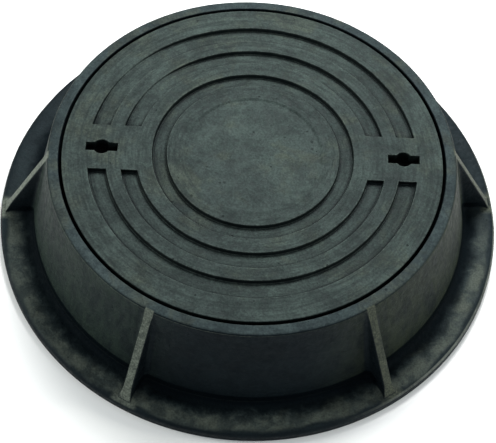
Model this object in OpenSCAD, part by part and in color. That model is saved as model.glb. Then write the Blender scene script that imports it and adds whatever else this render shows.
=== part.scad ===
// Round road manhole cover: a flanged frame casting with a conical wall and six
// gussets, and a loose lid with a ring pattern that rests on a rubber seat ring.
// Two keyholes in the lid open into closed pans, where a lifting key is turned.
// Origin: centre of the flange's underside. +Z is up, +X runs along the keyholes.

/* [Frame] */
// Height of the frame, from the flange's underside to the road surface
frame_h = 180; // [150:5:220]
// Outer diameter of the base flange
flange_d = 890; // [870:5:960]
// Thickness of the base flange where it leaves the wall
flange_t = 16; // [14:1:20]
// How far the flange's top rises from there to its edge
flange_rise = 4; // [1:1:6]
// Outer diameter of the conical wall where it meets the flange
wall_base_d = 776; // [740:4:790]
// Thickness of the conical wall
wall_t = 12; // [10:1:16]
// Width of the flat rim around the lid
rim_w = 19; // [14:0.5:22]
// Clear diameter of the opening
clear_d = 600; // [580:5:604]
// Thickness of the gussets
gusset_t = 16; // [10:1:18]
// Turn of the gussets from the line through the keyholes, in degrees
gusset_turn = 3.5; // [0:0.5:20]

/* [Lid] */
// Diameter of the lid
lid_d = 645; // [640:1:655]
// Radial gap between the lid and the rim
lid_gap = 5; // [3:0.5:6]
// Depth of the lid's edge, from the road surface to the seat ring
lid_edge_h = 45; // [40:1:55]
// Thickness of the lid's plate
plate_t = 18; // [16:1:22]
// Depth of the recesses in the pattern
relief_depth = 8; // [5:0.5:9]
// Width of the bar that carries the keyholes across the pattern
bar_w = 92; // [84:2:100]
// Depth of the ribs under the lid, from the road surface
rib_depth = 60; // [52:2:70]
// Number of ribs under the lid
rib_count = 8; // [6:2:12]

/* [Pattern] */
// Radius of the shallow disc in the middle
disc_r = 114; // [100:1:125]
// Radius of the raised middle
boss_r = 146; // [135:1:150]
// Inner and outer radius of the inner raised ring
inner_ring = [171, 197.5]; // [160:0.5:200]
// Inner and outer radius of the outer raised ring
outer_ring = [225.5, 249]; // [220:0.5:255]
// Inner radius of the outer field
field_r = 280; // [275:1:288]

/* [Keyholes] */
// Distance of each keyhole from the lid's centre
key_r = 256; // [250:1:258]
// Length of the keyhole's slot
key_l = 54; // [46:1:54]
// Width of the keyhole's slot
key_w = 17; // [14:1:20]
// Diameter of the round in the middle of the keyhole
key_round_d = 29; // [24:1:32]
// Inside radius of the pan under each keyhole
pan_r = 29; // [28:0.5:30]
// Inside depth of the pan
pan_depth = 30; // [24:1:34]

/* [Hidden] */
$fn = 96;
eps = 0.5;
iron = [0.29, 0.32, 0.31];

// Frame: the wall is a cone, so its lines are worked out from its slope.
flange_r = flange_d / 2;
lid_r = lid_d / 2;
bore_r = lid_r + lid_gap;
rim_r = bore_r + rim_w;
wall_base_r = wall_base_d / 2;
clear_r = clear_d / 2;
wall_lean = atan((wall_base_r - rim_r) / (frame_h - flange_t));
lip_r = 8;
toe_r = flange_r - lip_r;
flange_lean = atan(flange_rise / (toe_r - wall_base_r));
toe_z = flange_t + flange_rise;
root_fillet = 14;
rim_edge_r = 6;
small_edge = 2;
ledge_t = 14;
haunch_drop = 22;

// Seat ring: it lies loose in a groove of the ledge and stands proud of it.
ring_proud = 3;
groove_depth = 5;
ring_play = 0.6;
groove_r = [306, 320];
lid_base_z = frame_h - lid_edge_h;
seat_z = lid_base_z - ring_proud;

// Gusset: a triangle in side view that widens at its foot.
gusset_count = 6;
gusset_foot_w = 26;
gusset_flare = 34;
gusset_top_drop = 1.5;

// Lid: plate, skirt and ribs.
skirt_w = 18;
skirt_draft = 1.5;
skirt_in_r = lid_r - skirt_w;
plate_z = frame_h - plate_t;
rib_t = 10;
rib_z = frame_h - rib_depth;
rib_clear = 5;
hub_r = 92;
disc_depth = 2.5;
disc_slope = 4;
relief_draft = 1.5;

// Keyway pans: cups with two ears, each ear held by one screw and washer.
pan_wall = 3;
pan_flange_t = 4;
pan_flange_r = 36;
gasket_t = 2;
ear_y = 41;
ear_r = 9;
screw_r = 4;
screw_play = 0.1;
screw_grip = 11;
screw_end_gap = 1;
screw_head_r = 7.5;
screw_head_h = 5.3;
washer_r = 8.5;
washer_t = 1.6;
gasket_z = plate_z - gasket_t;
pan_top_z = gasket_z - pan_flange_t;
washer_z = pan_top_z - washer_t;

// Points of an arc about c, from angle a0 to angle a1.
function arc(c, r, a0, a1, n = 6) =
    [for (i = [0 : n]) c + r * [cos(a0 + (a1 - a0) * i / n), sin(a0 + (a1 - a0) * i / n)]];

// Radius of the wall's outer face at height z.
function wall_r(z) = rim_r + (frame_h - z) * tan(wall_lean);

// Centre of a round of radius r between the wall and the rim's level face.
function rim_centre(r) = [rim_r - r * (1 - sin(wall_lean)) / cos(wall_lean), frame_h - r];

// Centre of a fillet of radius r between the wall and the flange's sloping top.
function root_centre(r) = [wall_base_r, flange_t] +
    r * [cos(flange_lean) - sin(wall_lean), cos(wall_lean) + sin(flange_lean)]
    / cos(wall_lean - flange_lean);

module frame_shell() {
    lip_c = [toe_r, toe_z - lip_r / cos(flange_lean)];
    haunch_z = seat_z - ledge_t - haunch_drop;
    skin = wall_t / cos(wall_lean);
    rotate_extrude()
        polygon(concat(
            [[wall_r(0) - skin, 0], [flange_r - small_edge, 0], [flange_r, small_edge]],
            arc(lip_c, lip_r, 0, 90 + flange_lean, 8),
            arc(root_centre(root_fillet), root_fillet, 270 + flange_lean, 180 + wall_lean),
            arc(rim_centre(rim_edge_r), rim_edge_r, wall_lean, 90),
            [[bore_r + small_edge, frame_h], [bore_r, frame_h - small_edge], [bore_r, seat_z]],
            [[groove_r[1], seat_z], [groove_r[1], seat_z - groove_depth]],
            [[groove_r[0], seat_z - groove_depth], [groove_r[0], seat_z]],
            [[clear_r + small_edge, seat_z], [clear_r, seat_z - small_edge]],
            [[clear_r, seat_z - ledge_t], [wall_r(haunch_z) - skin, haunch_z]]
        ));
}

// One gusset along +X: the side view cut by a plan that flares at the foot.
module gusset() {
    top_z = frame_h - gusset_top_drop;
    root_r = wall_base_r - wall_t / 2;
    flare_turn = acos(1 - (gusset_foot_w - gusset_t) / 2 / gusset_flare);
    flare_r = toe_r - gusset_flare * sin(flare_turn);
    flare_y = gusset_t / 2 + gusset_flare;
    intersection() {
        rotate([90, 0, 0])
            linear_extrude(height = gusset_foot_w + eps, center = true)
                polygon([[rim_r - rim_w / 2, top_z], [rim_r - gusset_top_drop, top_z], [toe_r, toe_z],
                         [toe_r, flange_t / 2], [root_r, flange_t / 2]]);
        linear_extrude(height = frame_h)
            polygon(concat(
                [[bore_r, -gusset_t / 2]],
                arc([flare_r, -flare_y], gusset_flare, 90, 90 - flare_turn),
                [[toe_r + eps, -gusset_foot_w / 2], [toe_r + eps, gusset_foot_w / 2]],
                arc([flare_r, flare_y], gusset_flare, flare_turn - 90, -90),
                [[bore_r, gusset_t / 2]]
            ));
    }
}

module frame() {
    color(iron) {
        frame_shell();
        for (i = [0 : gusset_count - 1])
            rotate([0, 0, gusset_turn + i * 360 / gusset_count])
                gusset();
    }
}

module seat_ring() {
    color("dimgray")
        rotate_extrude()
            translate([groove_r[0] + ring_play, seat_z - groove_depth])
                square([groove_r[1] - groove_r[0] - 2 * ring_play, groove_depth + ring_proud]);
}

// Plate and skirt of the lid, turned about its axis.
module lid_shell() {
    edge_c = [lid_r - small_edge, frame_h - small_edge];
    rotate_extrude()
        polygon(concat(
            [[0, plate_z], [skirt_in_r, plate_z], [skirt_in_r, lid_base_z]],
            [[lid_r - skirt_draft - small_edge, lid_base_z]],
            [[lid_r - skirt_draft, lid_base_z + small_edge]],
            arc(edge_c, small_edge, 0, 90, 4),
            [[0, frame_h]]
        ));
}

// One rib from the hub to the skirt. Its end rises to clear the frame's ledge.
module lid_rib() {
    drop_r = clear_r - rib_clear;
    rotate([90, 0, 0])
        linear_extrude(height = rib_t, center = true)
            polygon([[hub_r, rib_z], [drop_r - rib_clear, rib_z], [drop_r, lid_base_z + small_edge],
                     [skirt_in_r + small_edge, lid_base_z + small_edge],
                     [skirt_in_r + small_edge, plate_z + small_edge], [hub_r, plate_z + small_edge]]);
}

module lid_ribs() {
    rotate_extrude()
        translate([hub_r - rib_t / 2, rib_z])
            square([rib_t, plate_z - rib_z + small_edge]);
    for (i = [0 : rib_count - 1])
        rotate([0, 0, (i + 0.5) * 360 / rib_count])
            lid_rib();
}

// A sunk ring between two radii, with sloping sides.
module sunk_ring(r_in, r_out, depth) {
    rotate_extrude()
        polygon([[r_in + relief_draft, frame_h - depth], [r_out - relief_draft, frame_h - depth],
                 [r_out, frame_h], [r_out, frame_h + eps], [r_in, frame_h + eps], [r_in, frame_h]]);
}

module relief() {
    sunk_ring(boss_r, inner_ring[0], relief_depth);
    difference() {
        union() {
            sunk_ring(inner_ring[1], outer_ring[0], relief_depth);
            sunk_ring(outer_ring[1], field_r, relief_depth);
        }
        translate([-lid_r, -bar_w / 2, plate_z])
            cube([lid_d, bar_w, plate_t + 2 * eps]);
    }
    rotate_extrude()
        polygon([[0, frame_h - disc_depth], [disc_r, frame_h - disc_depth],
                 [disc_r + disc_slope, frame_h], [disc_r + disc_slope, frame_h + eps], [0, frame_h + eps]]);
}

module keyhole() {
    translate([0, 0, plate_z - eps])
        linear_extrude(height = plate_t + 2 * eps)
            union() {
                square([key_l, key_w], center = true);
                circle(d = key_round_d);
            }
}

// Places its children at both keyholes.
module at_keyholes() {
    for (side = [-1, 1])
        translate([side * key_r, 0, 0])
            children();
}

// Places its children at the two screws of one pan.
module at_ears() {
    for (side = [-1, 1])
        translate([0, side * ear_y, 0])
            children();
}

module lid() {
    color(iron)
        difference() {
            union() {
                lid_shell();
                lid_ribs();
            }
            relief();
            at_keyholes() {
                keyhole();
                at_ears()
                    translate([0, 0, plate_z - eps])
                        cylinder(h = screw_grip + screw_end_gap + eps, r = screw_r + screw_play);
            }
        }
}

// Flat outline shared by a pan's flange and its gasket.
module ear_plate(z, t) {
    translate([0, 0, z])
        difference() {
            union() {
                cylinder(h = t, r = pan_flange_r);
                at_ears()
                    cylinder(h = t, r = ear_r);
                translate([-ear_r, -ear_y, 0])
                    cube([2 * ear_r, 2 * ear_y, t]);
            }
            translate([0, 0, -eps])
                cylinder(h = t + 2 * eps, r = pan_r);
            at_ears()
                translate([0, 0, -eps])
                    cylinder(h = t + 2 * eps, r = screw_r + 2 * screw_play);
        }
}

module keyway_pan() {
    ear_plate(pan_top_z, pan_flange_t);
    difference() {
        translate([0, 0, gasket_z - pan_depth - pan_wall])
            cylinder(h = pan_depth + pan_wall, r = pan_r + pan_wall);
        translate([0, 0, gasket_z - pan_depth])
            cylinder(h = pan_depth + eps, r = pan_r);
    }
}

module keyway_pan_left() {
    color("darkslategray")
        translate([-key_r, 0, 0])
            keyway_pan();
}

module keyway_pan_right() {
    color("darkslategray")
        translate([key_r, 0, 0])
            keyway_pan();
}

module pan_gasket_left() {
    color("black")
        translate([-key_r, 0, 0])
            ear_plate(gasket_z, gasket_t);
}

module pan_gasket_right() {
    color("black")
        translate([key_r, 0, 0])
            ear_plate(gasket_z, gasket_t);
}

module pan_washers() {
    color("silver")
        at_keyholes()
            at_ears()
                translate([0, 0, washer_z])
                    difference() {
                        cylinder(h = washer_t, r = washer_r);
                        translate([0, 0, -eps])
                            cylinder(h = washer_t + 2 * eps, r = screw_r + 2 * screw_play);
                    }
}

// Hex screws, head down, each reaching through its ear into the lid.
module pan_screws() {
    color("silver")
        at_keyholes()
            at_ears() {
                translate([0, 0, washer_z - screw_head_h])
                    cylinder(h = screw_head_h, r = screw_head_r, $fn = 6);
                translate([0, 0, washer_z - eps])
                    cylinder(h = plate_z + screw_grip - washer_z + eps, r = screw_r);
            }
}

frame();
seat_ring();
lid();
keyway_pan_left();
keyway_pan_right();
pan_gasket_left();
pan_gasket_right();
pan_washers();
pan_screws();
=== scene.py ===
"""A round road manhole cover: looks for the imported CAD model.

The two iron castings are rebuilt here with rounded casting edges, the small pieces
keep their CAD shape, and every surface gets a procedural material.
"""

import math

import bmesh
import bpy
from mathutils import Matrix, Vector, noise


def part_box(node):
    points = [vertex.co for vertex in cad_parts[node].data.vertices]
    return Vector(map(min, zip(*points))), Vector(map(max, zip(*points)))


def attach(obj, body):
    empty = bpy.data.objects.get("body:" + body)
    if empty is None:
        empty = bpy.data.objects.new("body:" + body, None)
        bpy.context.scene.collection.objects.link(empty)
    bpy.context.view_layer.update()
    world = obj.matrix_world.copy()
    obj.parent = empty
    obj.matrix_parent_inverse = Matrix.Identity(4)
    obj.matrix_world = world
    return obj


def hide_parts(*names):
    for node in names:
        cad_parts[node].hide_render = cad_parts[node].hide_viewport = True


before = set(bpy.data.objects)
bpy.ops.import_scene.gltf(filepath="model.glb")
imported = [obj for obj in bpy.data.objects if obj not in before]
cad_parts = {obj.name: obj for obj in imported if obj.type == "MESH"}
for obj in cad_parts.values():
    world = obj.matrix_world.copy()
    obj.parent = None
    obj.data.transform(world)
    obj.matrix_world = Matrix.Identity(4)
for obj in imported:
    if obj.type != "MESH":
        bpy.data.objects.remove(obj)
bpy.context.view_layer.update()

LID_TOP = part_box("lid")[1].z
FRAME_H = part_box("frame")[1].z
FLANGE_R = 0.445

# The frame's outline, in metres, as the CAD model has it.
BORE_R = 0.3275
RIM_R = 0.3465
CLEAR_R = 0.300
WALL_FOOT_R = 0.388
WALL_T = 0.012
FLANGE_T = 0.016
TOE_Z = 0.020   # top of the flange where its lip begins
LIP_R = 0.008
TOE_R = FLANGE_R - LIP_R
ROOT_FILLET = 0.014
RIM_ROLL = 0.006
CORNER = 0.002
SEAT_Z = 0.132
LEDGE_T = 0.014
HAUNCH_DROP = 0.022
GROOVE_R = (0.306, 0.320)
GROOVE_DEPTH = 0.005
WALL_LEAN = math.atan((WALL_FOOT_R - RIM_R) / (FRAME_H - FLANGE_T))
FLANGE_LEAN = math.atan((TOE_Z - FLANGE_T) / (TOE_R - WALL_FOOT_R))

# Gussets: plan and edges, and the ridge's upper end (r, z).
GUSSET_COUNT = 6
GUSSET_TURN = math.radians(3.5)
GUSSET_T = 0.016
GUSSET_FOOT_W = 0.026
GUSSET_FLARE = 0.034
GUSSET_FILLET = 0.008
GUSSET_EDGE = 0.0022
GUSSET_DRAFT = 0.0006   # how far a gusset's side leans out between ridge and fillet
RIDGE_INSET = 0.0015
RIDGE_A = (RIM_R - RIDGE_INSET, FRAME_H - RIDGE_INSET)
FLARE_TURN = math.acos(1 - (GUSSET_FOOT_W - GUSSET_T) / 2 / GUSSET_FLARE)
FLARE_START_R = TOE_R - GUSSET_FLARE * math.sin(FLARE_TURN)
FILLET_LIMIT = 0.6   # a fillet's and an edge's largest share of the gusset's height
EDGE_LIMIT = 0.3
FILLET_MARGIN = 0.002   # flat skin kept beside a fillet
WAVE_DEPTH = 0.0007
WAVE_SCALE = 14.0

# Rows of faces along each part of the outline, and round each bay.
BAY_STEPS = 40
RIM_STEPS = 7
WALL_STEPS = 30
ROOT_STEPS = 8
FLANGE_STEPS = 7
LIP_STEPS = 8
CORNER_STEPS = 3
BASE_STEPS = 5
CONE_STEPS = 8
HAUNCH_STEPS = 4
BORE_STEPS = 3
FILLET_STEPS = 4
EDGE_STEPS = 3

# Places on the castings that their materials follow.
DISC_R = 0.114
RIDGE_SLOPE = 0.497   # about the Z of the gusset ridges' normal


# ---------------------------------------------------------------- camera, floor, light

CAM_DISTANCE = 1.985   # from the middle of the lid's face
CAM_ELEVATION = math.radians(53.85)
CAM_AZIMUTH = math.radians(-2.25)
CAM_TILT = math.radians(-3.37)   # the view's centre lies a little below the lid's
CAM_ROLL = math.radians(4.32)
CAM_LENS = 85.0
CAM_SENSOR = 36.0
CAM_CLIP = (0.05, 50.0)

LIGHT_TARGET = (0.0, 0.0, 0.1)
LIGHTS = (   # name, place, size, power, colour
    ("key", (0.35, 1.35, 1.9), 1.0, 74.0, (1.0, 1.0, 1.0)),
    ("left", (-2.4, 0.0, 1.0), 0.8, 34.0, (1.0, 1.0, 0.92)),
    ("right", (2.5, -0.2, 0.8), 0.5, 27.0, (1.0, 0.99, 0.90)),
)
SKY_COLOUR = (0.88, 0.95, 1.0, 1.0)
SKY_STRENGTH = 0.62
FLOOR_SIZE = 16.0
FLOOR_DROP = 0.0005   # keeps the floor clear of the flange's underside
FLOOR_TONES = [(0.3, (0.84, 0.84, 0.83)), (0.7, (0.88, 0.88, 0.87))]


def make_camera():
    data = bpy.data.cameras.new("camera")
    data.lens = CAM_LENS
    data.sensor_width = CAM_SENSOR
    data.clip_start, data.clip_end = CAM_CLIP
    camera = bpy.data.objects.new("camera", data)
    sight = Vector((0.0, -math.cos(CAM_ELEVATION), math.sin(CAM_ELEVATION)))
    back = sight * CAM_DISTANCE
    camera.matrix_world = (
        Matrix.Rotation(CAM_AZIMUTH, 4, "Z")
        @ Matrix.Translation(back + Vector((0.0, 0.0, LID_TOP)))
        @ Matrix.Rotation(math.pi / 2 - CAM_ELEVATION + CAM_TILT, 4, "X")
        @ Matrix.Rotation(CAM_ROLL, 4, "Z")
    )
    bpy.context.scene.collection.objects.link(camera)
    bpy.context.scene.camera = camera


def area_light(name, place, size, power, colour):
    data = bpy.data.lights.new(name, "AREA")
    data.shape = "DISK"
    data.size = size
    data.energy = power
    data.color = colour
    lamp = bpy.data.objects.new(name, data)
    lamp.location = place
    aim = Vector(LIGHT_TARGET) - Vector(place)
    lamp.rotation_euler = aim.to_track_quat("-Z", "Y").to_euler()
    bpy.context.scene.collection.objects.link(lamp)


def make_studio():
    world = bpy.data.worlds.new("studio")
    bpy.context.scene.world = world
    world.use_nodes = True
    sky = world.node_tree.nodes["Background"]
    sky.inputs["Color"].default_value = SKY_COLOUR
    sky.inputs["Strength"].default_value = SKY_STRENGTH
    for light in LIGHTS:
        area_light(*light)
    bpy.context.scene.view_settings.view_transform = "Standard"

    bpy.ops.mesh.primitive_plane_add(size=FLOOR_SIZE, location=(0.0, 0.0, -FLOOR_DROP))
    floor = bpy.context.object
    floor.name = "floor"
    paint = Graph("floor_paint")
    speckle = paint.noise(paint.place(), 3.0, 4.0, 0.5)
    paint.surface(Base_Color=paint.ramp(speckle, FLOOR_TONES), Roughness=0.75)
    floor.data.materials.append(paint.mat)


# ---------------------------------------------------------------- material graphs

class Graph:
    """A material and short ways to add nodes to it."""

    def __init__(self, name):
        self.mat = bpy.data.materials.new(name)
        self.mat.use_nodes = True
        self.tree = self.mat.node_tree
        self.tree.nodes.clear()

    def add(self, kind, settings=None, **inputs):
        """A node with its settings, and inputs given as numbers, colours or sockets."""
        made = self.tree.nodes.new("ShaderNode" + kind)
        for name, value in (settings or {}).items():
            setattr(made, name, value)
        for name, value in inputs.items():
            self.put(made.inputs[name.replace("_", " ")], value)
        return made

    def put(self, socket, value):
        if isinstance(value, bpy.types.NodeSocket):
            self.tree.links.new(value, socket)
        elif isinstance(value, tuple) and len(value) == 3 and socket.type == "RGBA":
            socket.default_value = (*value, 1.0)
        else:
            socket.default_value = value

    def math(self, operation, a, b=0.0):
        made = self.tree.nodes.new("ShaderNodeMath")
        made.operation = operation
        self.put(made.inputs[0], a)
        self.put(made.inputs[1], b)
        return made.outputs[0]

    def product(self, *factors):
        result = factors[0]
        for factor in factors[1:]:
            result = self.math("MULTIPLY", result, factor)
        return result

    def blend(self, *shares):
        """Weighted sum of (socket, weight) pairs."""
        result = self.math("MULTIPLY", *shares[0])
        for socket, weight in shares[1:]:
            result = self.math("ADD", result, self.math("MULTIPLY", socket, weight))
        return result

    def place(self):
        return self.add("TexCoord").outputs["Object"]

    def noise(self, where, scale, detail=4.0, roughness=0.5, distortion=0.0):
        made = self.add("TexNoise", Vector=where, Scale=scale, Detail=detail,
                        Roughness=roughness, Distortion=distortion)
        return made.outputs["Fac"]

    def fit(self, value, low, high, to_low=0.0, to_high=1.0):
        """value from low..high to to_low..to_high, smoothly and held between them."""
        made = self.add("MapRange", {"interpolation_type": "SMOOTHSTEP"}, Value=value)
        self.put(made.inputs["From Min"], low)
        self.put(made.inputs["From Max"], high)
        self.put(made.inputs["To Min"], to_low)
        self.put(made.inputs["To Max"], to_high)
        return made.outputs[0]

    def ramp(self, value, stops):
        made = self.add("ValToRGB", Fac=value)
        band = made.color_ramp
        while len(band.elements) < len(stops):
            band.elements.new(0.5)
        for element, (at, colour) in zip(band.elements, stops):
            element.position = at
            element.color = (*colour, 1.0)
        return made.outputs["Color"]

    def mix(self, share, a, b, blend="MIX"):
        made = self.add("Mix", {"data_type": "RGBA", "blend_type": blend})
        self.put(made.inputs["Factor"], share)
        self.put(made.inputs[6], a)   # 6, 7 and 2 are the node's colour sockets A, B, Result
        self.put(made.inputs[7], b)
        return made.outputs[2]

    def bump(self, height, distance, strength=1.0, under=None):
        made = self.add("Bump", Height=height, Distance=distance, Strength=strength)
        if under is not None:
            self.put(made.inputs["Normal"], under)
        return made.outputs["Normal"]

    def surface(self, **inputs):
        shader = self.add("BsdfPrincipled", None, **inputs)
        output = self.add("OutputMaterial")
        self.tree.links.new(shader.outputs["BSDF"], output.inputs["Surface"])


class Casting(Graph):
    """Cast iron: the patterns that both castings share, and the finish on top of them."""

    AXIS_R = 0.001   # keeps divisions by the radius finite on the Z axis
    GLOSS = 0.11
    HOLLOW_SHADE_SHARE = 0.97
    EDGE_RADIUS = 0.003
    EDGE_TURN = (0.995, 0.90)   # cosine between true and rounded normal, flat to rubbed
    RUB_SHARE = 0.6
    PIT_SCALE = 130.0
    PIT_SIZE = (0.06, 0.24)
    PIT_RARITY = (0.95, 0.96)
    PIT_SHARE = 0.6
    SPECK_TONE = (0.78, 1.20)
    ROUGHNESS = (0.48, 0.70)
    BUMP_STRENGTH = 0.9
    BUMP_DEPTHS = {"cloud": 0.0020, "blotch": 0.0018, "mottle": 0.0012, "grain": 0.0006,
                   "sweep": 0.0001, "pit": 0.0008}

    def __init__(self, name, dark, sheen):
        super().__init__(name)
        self.dark = dark
        self.sheen = sheen
        self.where = self.place()
        self.x, self.y, self.z = self.add("SeparateXYZ", Vector=self.where).outputs
        self.radius = self.math("SQRT", self.blend((self.math("POWER", self.x, 2.0), 1.0),
                                                   (self.math("POWER", self.y, 2.0), 1.0)))
        facing = self.add("SeparateXYZ", Vector=self.add("TexCoord").outputs["Normal"])
        self.sideways = self.math("ABSOLUTE", facing.outputs["X"])
        self.upward = facing.outputs["Z"]
        spoke = self.blend((self.product(facing.outputs["X"], self.x), 1.0),
                           (self.product(facing.outputs["Y"], self.y), 1.0))
        self.outward = self.math("DIVIDE", spoke,
                                 self.math("MAXIMUM", self.radius, self.AXIS_R))
        self.cloud = self.noise(self.where, 6.0, 5.0, 0.6, 0.4)
        self.blotch = self.noise(self.where, 30.0, 6.0, 0.62, 0.3)
        self.mottle = self.noise(self.where, 105.0, 5.0, 0.62)
        self.grain = self.noise(self.where, 330.0, 5.0, 0.65)
        self.sweep = self.noise(self.ring_coordinates(300.0, 6.0), 1.0, 4.0, 0.65)

    def ring_coordinates(self, across, along):
        """Coordinates stretched along circles about Z, with no seam."""
        held = self.math("MAXIMUM", self.radius, self.AXIS_R)
        around_x = self.product(self.math("DIVIDE", self.x, held), along)
        around_y = self.product(self.math("DIVIDE", self.y, held), along)
        made = self.add("CombineXYZ")
        self.put(made.inputs[0], self.product(self.radius, across))
        self.put(made.inputs[1], around_x)
        self.put(made.inputs[2], self.blend((around_y, 1.0), (self.z, across)))
        return made.outputs[0]

    def band(self, value, low, high, soft):
        """1 between low and high, falling to 0 over soft on either side."""
        return self.product(self.fit(value, low - soft, low),
                            self.fit(value, high + soft, high))

    def dust_and_top_light(self, low, slope, light, deep, warm):
        """Settled dust and painted top light on up-facing faces: its share of the surface, thin
        where its patches are, and its colour.
        """
        patch = self.blend((self.blotch, 0.45), (self.mottle, 0.40), (self.grain, 0.15))
        share = self.product(self.fit(self.upward, *slope),
                             self.fit(patch, 0.40, 0.60, low, 1.0))
        tone = self.mix(self.fit(self.cloud, 0.40, 0.62, 0.6, 0.0), light, deep)
        stain = self.noise(self.where, 14.0, 4.0, 0.6, 0.5)
        tone = self.mix(self.fit(stain, 0.50, 0.66, 0.0, 0.55), tone, warm)
        return share, tone

    def finish(self, colour, dust_and_top_light_share, worn, shade_reach, shade_range, gloss=GLOSS):
        """Painted shade in hollows, rubbed edges, pits, specks and the cast skin; then the shader.
        """
        # Painted shade: ambient occlusion darkens hollows and the feet of steps towards the dark
        # colour.
        shade = self.add("AmbientOcclusion", {"samples": 12}, Distance=shade_reach)
        ragged = self.blend((shade.outputs["AO"], 1.0), (self.mottle, 0.10))
        hollow = self.fit(ragged, *shade_range)
        colour = self.mix(self.fit(hollow, 0.0, 1.0, self.HOLLOW_SHADE_SHARE, 0.0), colour, self.dark)
        rounded = self.add("Bevel", {"samples": 6}, Radius=self.EDGE_RADIUS).outputs["Normal"]
        turn = self.add("VectorMath", {"operation": "DOT_PRODUCT"})
        self.put(turn.inputs[0], rounded)
        self.put(turn.inputs[1], self.add("NewGeometry").outputs["Normal"])
        edge = self.fit(turn.outputs["Value"], *self.EDGE_TURN)
        rubbed = self.product(edge, hollow, self.fit(self.mottle, 0.40, 0.60))
        colour = self.mix(self.product(rubbed, self.RUB_SHARE), colour, worn)

        pit = self.pits()
        colour = self.mix(self.product(pit, self.PIT_SHARE), colour, self.dark)
        speck = self.fit(self.grain, 0.32, 0.68, *self.SPECK_TONE)
        tint = self.add("CombineColor")
        for socket in tint.inputs:
            self.put(socket, speck)
        colour = self.mix(1.0, colour, tint.outputs[0], "MULTIPLY")

        rough = self.blend((self.fit(self.mottle, 0.3, 0.7, *self.ROUGHNESS), 1.0),
                           (dust_and_top_light_share, 0.14), (rubbed, -0.16))
        skin = self.bump(self.cloud, self.BUMP_DEPTHS["cloud"])
        relief = {"blotch": self.blotch, "mottle": self.mottle, "grain": self.grain,
                  "sweep": self.sweep, "pit": self.product(pit, -1.0)}
        for name, height in relief.items():
            skin = self.bump(height, self.BUMP_DEPTHS[name], self.BUMP_STRENGTH, skin)
        self.surface(Base_Color=colour, Roughness=rough, Normal=skin, Specular_IOR_Level=gloss,
                     Specular_Tint=self.sheen)
        return self.mat

    def pits(self):
        """A few cells of a fine pattern, each with one small dark hole of its own size."""
        cells = self.add("TexVoronoi", {"feature": "F1"}, Vector=self.where,
                         Scale=self.PIT_SCALE)
        share = self.add("SeparateColor", Color=cells.outputs["Color"]).outputs
        size = self.fit(share[1], 0.0, 1.0, *self.PIT_SIZE)
        inside = self.fit(self.math("SUBTRACT", cells.outputs["Distance"], size), 0.10, 0.0)
        return self.product(inside, self.fit(share[0], *self.PIT_RARITY),
                            self.fit(self.blotch, 0.42, 0.52))


FRAME_DARK = (0.0012, 0.0026, 0.0038)
FRAME_COAT = (0.0040, 0.0075, 0.0092)
FRAME_SHEEN = (0.72, 0.90, 1.0)
FRAME_WORN = (0.13, 0.145, 0.12)
# Dust and painted top light on the frame: light, deep and warm tones.
FRAME_DUST_AND_TOP_LIGHT = ((0.034, 0.047, 0.047), (0.020, 0.029, 0.029), (0.046, 0.052, 0.038))
SIDE_LIGHT_OLIVE = ((0.0135, 0.0215, 0.0165), (0.0165, 0.0215, 0.0135))   # painted side light on the -X and +X flanks
# Ridge tones: rubbed metal and painted light; the -X ridges are painted paler.
RUBBED_AND_LIT_IRON = ((0.066, 0.072, 0.050), (0.125, 0.140, 0.114))   # on the +X and -X ridges
DULL_AND_LIT_IRON = ((0.040, 0.046, 0.034), (0.084, 0.097, 0.078))
PALE_DUST = (0.085, 0.095, 0.075)
# Painted highlight on the lip's edge.
LIP_HIGHLIGHT_PAINT = (0.125, 0.135, 0.118)

LID_DARK = (0.0014, 0.0032, 0.0038)
LID_COAT = (0.010, 0.015, 0.0145)
LID_SHEEN = (0.9, 1.0, 1.0)
LID_WORN = (0.11, 0.13, 0.115)
# Dust and painted top light on the lid: light, deep and warm tones.
LID_DUST_AND_TOP_LIGHT = ((0.044, 0.061, 0.055), (0.030, 0.041, 0.039), (0.052, 0.062, 0.045))
LID_SWEPT = (0.020, 0.028, 0.026)


def frame_coat(g):
    """Blue-black bitumen, with painted side light in olive on the two flanks, broken into vertical
    runs.
    """
    coat = g.ramp(g.blend((g.cloud, 0.4), (g.blotch, 0.6)),
                  [(0.34, FRAME_DARK), (0.66, FRAME_COAT)])
    drawn = g.add("Mapping", None, Vector=g.where, Scale=(1.0, 1.0, 0.06)).outputs[0]
    runs = g.noise(drawn, 90.0, 4.0, 0.6)
    side_light = g.product(g.fit(g.sideways, 0.22, 0.62), g.fit(g.outward, 0.45, 0.75),
                      g.fit(g.z, TOE_Z, TOE_Z + 0.01),
                      g.fit(g.blend((runs, 0.5), (g.blotch, 0.5)), 0.36, 0.62, 0.25, 1.0))
    return g.mix(side_light, coat, g.mix(g.fit(g.x, -0.20, 0.20), *SIDE_LIGHT_OLIVE))


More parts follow.
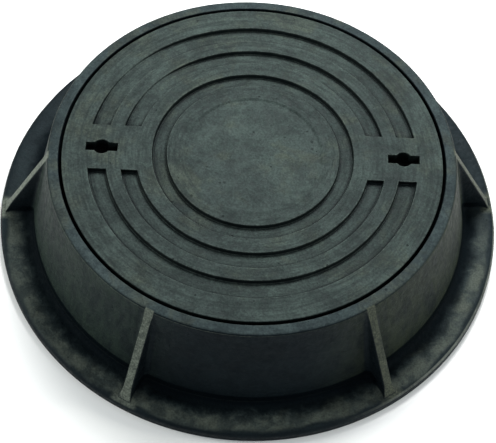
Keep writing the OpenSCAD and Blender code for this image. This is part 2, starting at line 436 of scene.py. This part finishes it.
def ridge_rub_and_light(g):
    """The gussets' ridges, pale with rubbing and painted light: the only faces at their slope, up
    to the rim and out on the lip.
    """
    ridge = g.product(g.band(g.upward, RIDGE_SLOPE - 0.02, RIDGE_SLOPE + 0.02, 0.02),
                      g.fit(g.radius, RIM_R - 0.002, RIM_R),
                      g.fit(g.z, TOE_Z - 0.001, TOE_Z + 0.001),
                      g.fit(g.mottle, 0.34, 0.60, 0.5, 1.0))
    bearing = g.math("ARCTAN2", g.y, g.x)
    past = g.math("SUBTRACT", bearing, GUSSET_TURN)
    plane = g.math("COSINE", g.product(past, float(GUSSET_COUNT)))   # 1 in the gussets' planes
    crest = g.product(g.fit(plane, 0.989, 0.994),
                      g.band(g.radius, RIM_R - 0.002, RIM_R + 0.005, 0.002),
                      g.fit(g.z, FRAME_H - 0.014, FRAME_H - 0.012))
    foot = g.product(g.fit(plane, 0.935, 0.985), g.fit(g.radius, TOE_R - 0.020, TOE_R - 0.006),
                     g.fit(g.upward, 0.45, 0.90), g.fit(g.blotch, 0.34, 0.56))
    ends = g.math("MAXIMUM", g.product(crest, 0.8), g.product(foot, 0.75))
    return g.math("MAXIMUM", ridge, ends)


def flange_painted_shadow(g):
    """Painted shadow of the wall on the flange's channel, sharp at the wall and ragged outwards.
    """
    ragged = g.blend((g.radius, 1.0), (g.blotch, 0.030), (g.cloud, 0.030))
    return g.product(g.fit(ragged, WALL_FOOT_R + 0.066, WALL_FOOT_R + 0.036),
                     g.fit(g.z, TOE_Z + 0.016, TOE_Z + 0.013),
                     g.fit(g.radius, WALL_FOOT_R - 0.020, WALL_FOOT_R - 0.016))


def frame_iron():
    """Frame: bitumen coat with painted side light, dust and painted top light, ridges rubbed and
    painted lit, a painted highlight on the lip, painted shadow at the wall's foot.
    """
    g = Casting("frame_iron", FRAME_DARK, FRAME_SHEEN)
    coat = frame_coat(g)
    # Dust and painted top light on the frame's flat faces.
    dust_and_top_light_share, dust_and_top_light_tone = g.dust_and_top_light(0.40, (0.74, 0.97), *FRAME_DUST_AND_TOP_LIGHT)

    # Near the flange's rounded lip the dust and painted top light thin out, leaving it dark, with
    # a ragged band of pale dust inside it.
    rough_r = g.blend((g.radius, 1.0), (g.blotch, 0.016), (g.cloud, 0.040))
    lip = g.fit(rough_r, FLANGE_R + 0.012, FLANGE_R + 0.026)
    # Painted shade on the low back of the flange: less dust and top light there, and no pale band.
    low = g.fit(g.z, TOE_Z + 0.010, TOE_Z + 0.002)
    back_flange_shade = g.product(low, g.fit(g.y, -0.16, 0.06))
    dust_and_top_light_share = g.product(dust_and_top_light_share, g.fit(lip, 0.0, 1.0, 1.0, 0.12),
                        g.fit(back_flange_shade, 0.0, 1.0, 1.0, 0.2))
    colour = g.mix(dust_and_top_light_share, coat, dust_and_top_light_tone)

    # Ridge colour: rubbed metal and painted light, painted paler on the -X side.
    ridge = ridge_rub_and_light(g)
    rubbed = g.mix(g.fit(g.x, 0.10, -0.10), *RUBBED_AND_LIT_IRON)
    dull = g.mix(g.fit(g.x, 0.10, -0.10), *DULL_AND_LIT_IRON)
    colour = g.mix(ridge, colour, g.mix(g.fit(g.grain, 0.40, 0.64), dull, rubbed))

    # Pale dust band inside the lip, left off the back where shade is painted.
    pale = g.product(g.fit(back_flange_shade, 0.0, 1.0, 1.0, 0.0),
                     g.fit(rough_r, FLANGE_R - 0.012, FLANGE_R + 0.004),
                     g.fit(lip, 0.0, 1.0, 1.0, 0.0),
                     g.fit(g.upward, 0.60, 0.86), g.fit(g.blotch, 0.36, 0.60, 0.25, 1.0))
    colour = g.mix(g.product(pale, 0.6), colour, PALE_DUST)

    # A painted highlight along the lip's edge on one side.
    lip_highlight = g.product(g.band(g.upward, 0.45, 0.78, 0.12), g.fit(g.x, 0.14, 0.32),
                       g.fit(g.z, TOE_Z + 0.002, TOE_Z),
                       g.fit(g.radius, TOE_R, TOE_R + 0.002),
                       g.fit(g.blotch, 0.30, 0.60, 0.4, 1.0))
    colour = g.mix(g.product(lip_highlight, 0.7), colour, LIP_HIGHLIGHT_PAINT)

    # Painted shadow of the wall on the flange: darker colour and a duller reflection.
    wall_shadow = flange_painted_shadow(g)
    colour = g.mix(g.product(wall_shadow, 0.94), colour, FRAME_DARK)
    return g.finish(colour, dust_and_top_light_share, FRAME_WORN, 0.016, (0.55, 0.89),
                    g.fit(wall_shadow, 0.0, 1.0, g.GLOSS, 0.03))


def lid_iron():
    """Lid: grey-green top of dust and painted top light, black steps with painted shade at their
    feet, circular sweeps in the pattern's channels.
    """
    g = Casting("lid_iron", LID_DARK, LID_SHEEN)
    coat = g.ramp(g.blend((g.cloud, 0.4), (g.blotch, 0.6)), [(0.36, LID_DARK), (0.70, LID_COAT)])
    # Dust and painted top light on the lid's up-facing faces.
    dust_and_top_light_share, dust_and_top_light_tone = g.dust_and_top_light(0.42, (0.30, 0.56), *LID_DUST_AND_TOP_LIGHT)
    streak = g.noise(g.ring_coordinates(130.0, 3.0), 1.0, 3.0, 0.6)
    swept = g.product(g.fit(g.radius, DISC_R, DISC_R + 0.01),
                      g.blend((g.fit(g.sweep, 0.42, 0.60), 0.4), (g.fit(streak, 0.42, 0.62), 0.5)))
    dust_and_top_light_tone = g.mix(swept, dust_and_top_light_tone, LID_SWEPT)
    colour = g.mix(dust_and_top_light_share, coat, dust_and_top_light_tone)
    return g.finish(colour, dust_and_top_light_share, LID_WORN, 0.014, (0.77, 0.86))


def moulded(name, low, high, scale, rough, bump, metallic=0.0):
    """Rubber, plastic or plated steel: two tones in a fine grain, with its own bump."""
    g = Graph(name)
    where = g.place()
    broad = g.noise(where, scale * 0.12, 4.0, 0.55)
    fine = g.noise(where, scale, 4.0, 0.6)
    tone = g.blend((broad, 0.6), (fine, 0.4))
    skin = g.bump(fine, bump, 0.8, g.bump(broad, bump * 4, 0.6))
    g.surface(Base_Color=g.ramp(tone, [(0.32, low), (0.68, high)]),
              Roughness=g.fit(tone, 0.3, 0.7, rough - 0.1, rough + 0.1),
              Normal=skin, Metallic=metallic)
    return g.mat


# ---------------------------------------------------------------- castings

WELD = 2e-5
SLIVER = 2e-4   # the CAD mesh has a few slivers this thin, turned over, under the ribs
COPLANAR = math.radians(0.4)
SHARP = math.radians(28.0)
FACE_DEPTH = 0.012   # the lid's pattern lies within this depth of its top
FACE_EDGE = 0.0011
FACE_EDGE_STEPS = 3
RELIEF_DEPTH = (0.004, 0.0085)   # the recesses' floors lie between these depths
WORN_INNER_R = 0.17
WORN_BEARING = 143.0   # degrees, the middle of the worn part of the pattern
WORN_SPREAD = 34.0
WORN_FILL = 0.62
NORMAL_WEIGHT = 80


def add_piece(name, mesh, material, body, replaced):
    """A new object with its material, that stands for one CAD node."""
    for face in mesh.polygons:
        face.use_smooth = True
    mesh.materials.append(material)
    piece = bpy.data.objects.new(name, mesh)
    bpy.context.scene.collection.objects.link(piece)
    weigh = piece.modifiers.new("weighted_normals", "WEIGHTED_NORMAL")
    weigh.weight = NORMAL_WEIGHT
    weigh.keep_sharp = True
    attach(piece, body)
    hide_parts(replaced)


def worn_fill(point):
    """How far a recess's floor has risen: most at the worn bearing, none a spread away."""
    depth = LID_TOP - point.z
    if not RELIEF_DEPTH[0] < depth < RELIEF_DEPTH[1] or point.xy.length < WORN_INNER_R:
        return 0.0
    bearing = math.degrees(math.atan2(point.y, point.x))
    share = min(1.0, max(0.0, 1.0 - abs(bearing - WORN_BEARING) / WORN_SPREAD))
    return depth * WORN_FILL * share * share * (3 - 2 * share)


def lowest(edge):
    return min(vert.co.z for vert in edge.verts)


def lid_casting():
    """The CAD lid's own shape, with its pattern's edges rounded and part of it worn."""
    shape = bmesh.new()
    shape.from_mesh(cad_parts["lid"].data)
    bmesh.ops.remove_doubles(shape, verts=shape.verts, dist=WELD)
    bottom = min(v.co.z for v in shape.verts) + WELD
    turned = [f for f in shape.faces
              if f.normal.z > 0.5 and f.calc_center_median().z < bottom]
    bmesh.ops.dissolve_degenerate(shape, dist=SLIVER, edges=[e for f in turned for e in f.edges])
    face_z = LID_TOP - FACE_DEPTH
    bmesh.ops.dissolve_limit(shape, angle_limit=COPLANAR,
                             verts=[v for v in shape.verts if v.co.z > face_z],
                             edges=[e for e in shape.edges if lowest(e) > face_z])
    sharp = [e for e in shape.edges if len(e.link_faces) == 2
             and e.calc_face_angle(0.0) > SHARP and lowest(e) > face_z]
    bmesh.ops.bevel(shape, geom=sharp, offset=FACE_EDGE, offset_type="OFFSET",
                    segments=FACE_EDGE_STEPS, profile=0.5, affect="EDGES", clamp_overlap=False)
    bmesh.ops.triangulate(shape, faces=[f for f in shape.faces if len(f.verts) > 4])
    for vert in shape.verts:
        vert.co.z += worn_fill(vert.co)
    mesh = bpy.data.meshes.new("lid_casting")
    shape.to_mesh(mesh)
    shape.free()
    add_piece("lid_casting", mesh, lid_iron(), "lid", "lid")


def arc(centre, radius, start, end, steps):
    """Points (r, z) of an arc; angles in degrees."""
    angles = [math.radians(start + (end - start) * i / steps) for i in range(steps + 1)]
    return [(centre[0] + radius * math.cos(a), centre[1] + radius * math.sin(a))
            for a in angles]


def stretch(start, end, steps):
    """Points between two (r, z) places, without either end."""
    return [(start[0] + (end[0] - start[0]) * i / steps,
             start[1] + (end[1] - start[1]) * i / steps) for i in range(1, steps)]


def frame_profile():
    """The frame's outline (r, z) in two runs: from rim to flange edge, and back up inside."""
    lean = math.degrees(WALL_LEAN)
    slope = math.degrees(FLANGE_LEAN)
    rim_c = (RIM_R - RIM_ROLL * (1 - math.sin(WALL_LEAN)) / math.cos(WALL_LEAN),
             FRAME_H - RIM_ROLL)
    spread = math.cos(WALL_LEAN - FLANGE_LEAN)
    root_c = (WALL_FOOT_R + ROOT_FILLET * (math.cos(FLANGE_LEAN) - math.sin(WALL_LEAN)) / spread,
              FLANGE_T + ROOT_FILLET * (math.cos(WALL_LEAN) + math.sin(FLANGE_LEAN)) / spread)
    lip_c = (TOE_R, TOE_Z - LIP_R / math.cos(FLANGE_LEAN))
    skin = WALL_T / math.cos(WALL_LEAN)
    haunch_z = SEAT_Z - LEDGE_T - HAUNCH_DROP
    haunch_r = RIM_R + (FRAME_H - haunch_z) * math.tan(WALL_LEAN) - skin
    foot_in_r = RIM_R + FRAME_H * math.tan(WALL_LEAN) - skin

    rim_roll = arc(rim_c, RIM_ROLL, 90, lean, RIM_STEPS)
    root = arc(root_c, ROOT_FILLET, 180 + lean, 270 + slope, ROOT_STEPS)
    lip = arc(lip_c, LIP_R, 90 + slope, 0, LIP_STEPS)
    outside = rim_roll + stretch(rim_roll[-1], root[0], WALL_STEPS)
    outside += root + stretch(root[-1], lip[0], FLANGE_STEPS) + lip

    corner_c = (FLANGE_R - CORNER, CORNER)
    foot_c = (foot_in_r + CORNER, CORNER)
    bore_c = (BORE_R + CORNER, FRAME_H - CORNER)
    haunch = (haunch_r, haunch_z)
    ledge = (CLEAR_R, SEAT_Z - LEDGE_T)
    inside = arc(corner_c, CORNER, 0, -90, CORNER_STEPS)
    inside += stretch((corner_c[0], 0.0), (foot_c[0], 0.0), BASE_STEPS)
    inside += arc(foot_c, CORNER, 270, 180, CORNER_STEPS)
    inside += stretch((foot_in_r, CORNER), haunch, CONE_STEPS) + [haunch]
    inside += stretch(haunch, ledge, HAUNCH_STEPS) + [ledge]
    inside += arc((CLEAR_R + CORNER, SEAT_Z - CORNER), CORNER, 180, 90, CORNER_STEPS)
    inside += [(GROOVE_R[0], SEAT_Z), (GROOVE_R[0], SEAT_Z - GROOVE_DEPTH)]
    inside += [(GROOVE_R[1], SEAT_Z - GROOVE_DEPTH), (GROOVE_R[1], SEAT_Z)]
    inside += [(BORE_R, SEAT_Z)] + stretch((BORE_R, SEAT_Z), (BORE_R, bore_c[1]), BORE_STEPS)
    return outside, inside + arc(bore_c, CORNER, 180, 90, CORNER_STEPS)


def gusset_half_width(r):
    """Half the gusset's width at a radius: even, then flaring to its foot."""
    past = max(0.0, min(r, TOE_R) - FLARE_START_R)
    return GUSSET_T / 2 + GUSSET_FLARE - math.sqrt(GUSSET_FLARE ** 2 - past ** 2)


def gusset_section():
    """Half section of a gusset as (sideways, share of fillet, share of height, edge drop)."""
    quarter = math.radians(90)
    section = [(GUSSET_DRAFT + GUSSET_FILLET + FILLET_MARGIN, 0.0, 0.0, 0.0)]
    for i in range(FILLET_STEPS + 1):
        turn = quarter * i / FILLET_STEPS
        sideways = GUSSET_DRAFT + GUSSET_FILLET * (1 - math.sin(turn))
        section.append((sideways, 1 - math.cos(turn), 0.0, 0.0))
    for i in range(EDGE_STEPS + 1):
        turn = quarter * i / EDGE_STEPS
        section.append((-GUSSET_EDGE * (1 - math.cos(turn)), 0.0, 1.0, 1 - math.sin(turn)))
    return section


def frame_ring(r, z, height, ridge_out, section):
    """One ring of the frame's skin at outline point (r, z), with gussets raised to a height."""
    fillet = min(GUSSET_FILLET, FILLET_LIMIT * height)
    drop = min(GUSSET_EDGE, EDGE_LIMIT * height)
    half = []
    for sideways, of_fillet, of_height, of_drop in section:
        rise = of_fillet * fillet + of_height * (height - of_drop * drop)
        out = r + rise * ridge_out[0]
        y = gusset_half_width(out) + sideways
        half.append((math.sqrt(r * r - y * y) + rise * ridge_out[0], y, z + rise * ridge_out[1]))
    crest = r + height * ridge_out[0], 0.0, z + height * ridge_out[1]
    across = [(x, -y, h) for x, y, h in half] + [crest] + list(reversed(half))

    ring = []
    pitch = 2 * math.pi / GUSSET_COUNT
    edge_turn = math.atan2(half[0][1], half[0][0])
    for k in range(GUSSET_COUNT):
        turn = GUSSET_TURN + k * pitch
        for x, y, h in across:
            ring.append((x * math.cos(turn) - y * math.sin(turn),
                         x * math.sin(turn) + y * math.cos(turn), h))
        for i in range(1, BAY_STEPS):
            a = turn + edge_turn + (pitch - 2 * edge_turn) * i / BAY_STEPS
            ring.append((r * math.cos(a), r * math.sin(a), z))
    return ring


def uneven(point):
    """A hand-made mould's shallow waves, only inwards."""
    depth = WAVE_DEPTH * (0.5 + 0.5 * noise.noise(point * WAVE_SCALE))
    inwards = 1 - depth / point.xy.length
    return Vector((point.x * inwards, point.y * inwards, point.z))


def frame_casting():
    """The frame's skin: rings round its outline, which the gussets and fillets grow out of."""
    run = Vector((TOE_R - RIDGE_A[0], TOE_Z - RIDGE_A[1])).normalized()
    ridge_out = (-run.y, run.x)
    section = gusset_section()
    outside, inside = frame_profile()
    shape = bmesh.new()
    rows = []
    for r, z in outside:
        below_ridge = (RIDGE_A[0] - r) * ridge_out[0] + (RIDGE_A[1] - z) * ridge_out[1]
        below_top = (RIDGE_A[1] - z) / ridge_out[1]
        ring = frame_ring(r, z, max(0.0, min(below_ridge, below_top)), ridge_out, section)
        rows.append([shape.verts.new(uneven(Vector(place))) for place in ring])
    for r, z in inside:
        ring = frame_ring(r, z, 0.0, ridge_out, section)
        rows.append([shape.verts.new(place) for place in ring])
    for row, below in zip(rows, rows[1:] + rows[:1]):
        for i in range(len(row)):
            j = (i + 1) % len(row)
            shape.faces.new((row[i], below[i], below[j], row[j]))
    mesh = bpy.data.meshes.new("frame_casting")
    shape.to_mesh(mesh)
    shape.free()
    add_piece("frame_casting", mesh, frame_iron(), "frame", "frame")


def dress(node, material):
    """Gives a carried-over CAD node its material; its shape stays as it is."""
    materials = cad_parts[node].data.materials
    materials.clear()
    materials.append(material)


make_camera()
make_studio()

rubber = moulded("seat_rubber", low=(0.006, 0.006, 0.007), high=(0.018, 0.018, 0.020),
                 scale=700.0, rough=0.72, bump=0.0002)
plastic = moulded("pan_plastic", low=(0.008, 0.009, 0.010), high=(0.020, 0.022, 0.024),
                  scale=900.0, rough=0.5, bump=0.00012)
zinc = moulded("zinc_steel", low=(0.28, 0.29, 0.29), high=(0.46, 0.47, 0.46),
               scale=500.0, rough=0.42, bump=0.0001, metallic=1.0)

frame_casting()
lid_casting()
dress("seat_ring", rubber)
for side in ("left", "right"):
    dress("keyway_pan_" + side, plastic)
    dress("pan_gasket_" + side, rubber)
dress("pan_washers", zinc)
dress("pan_screws", zinc)
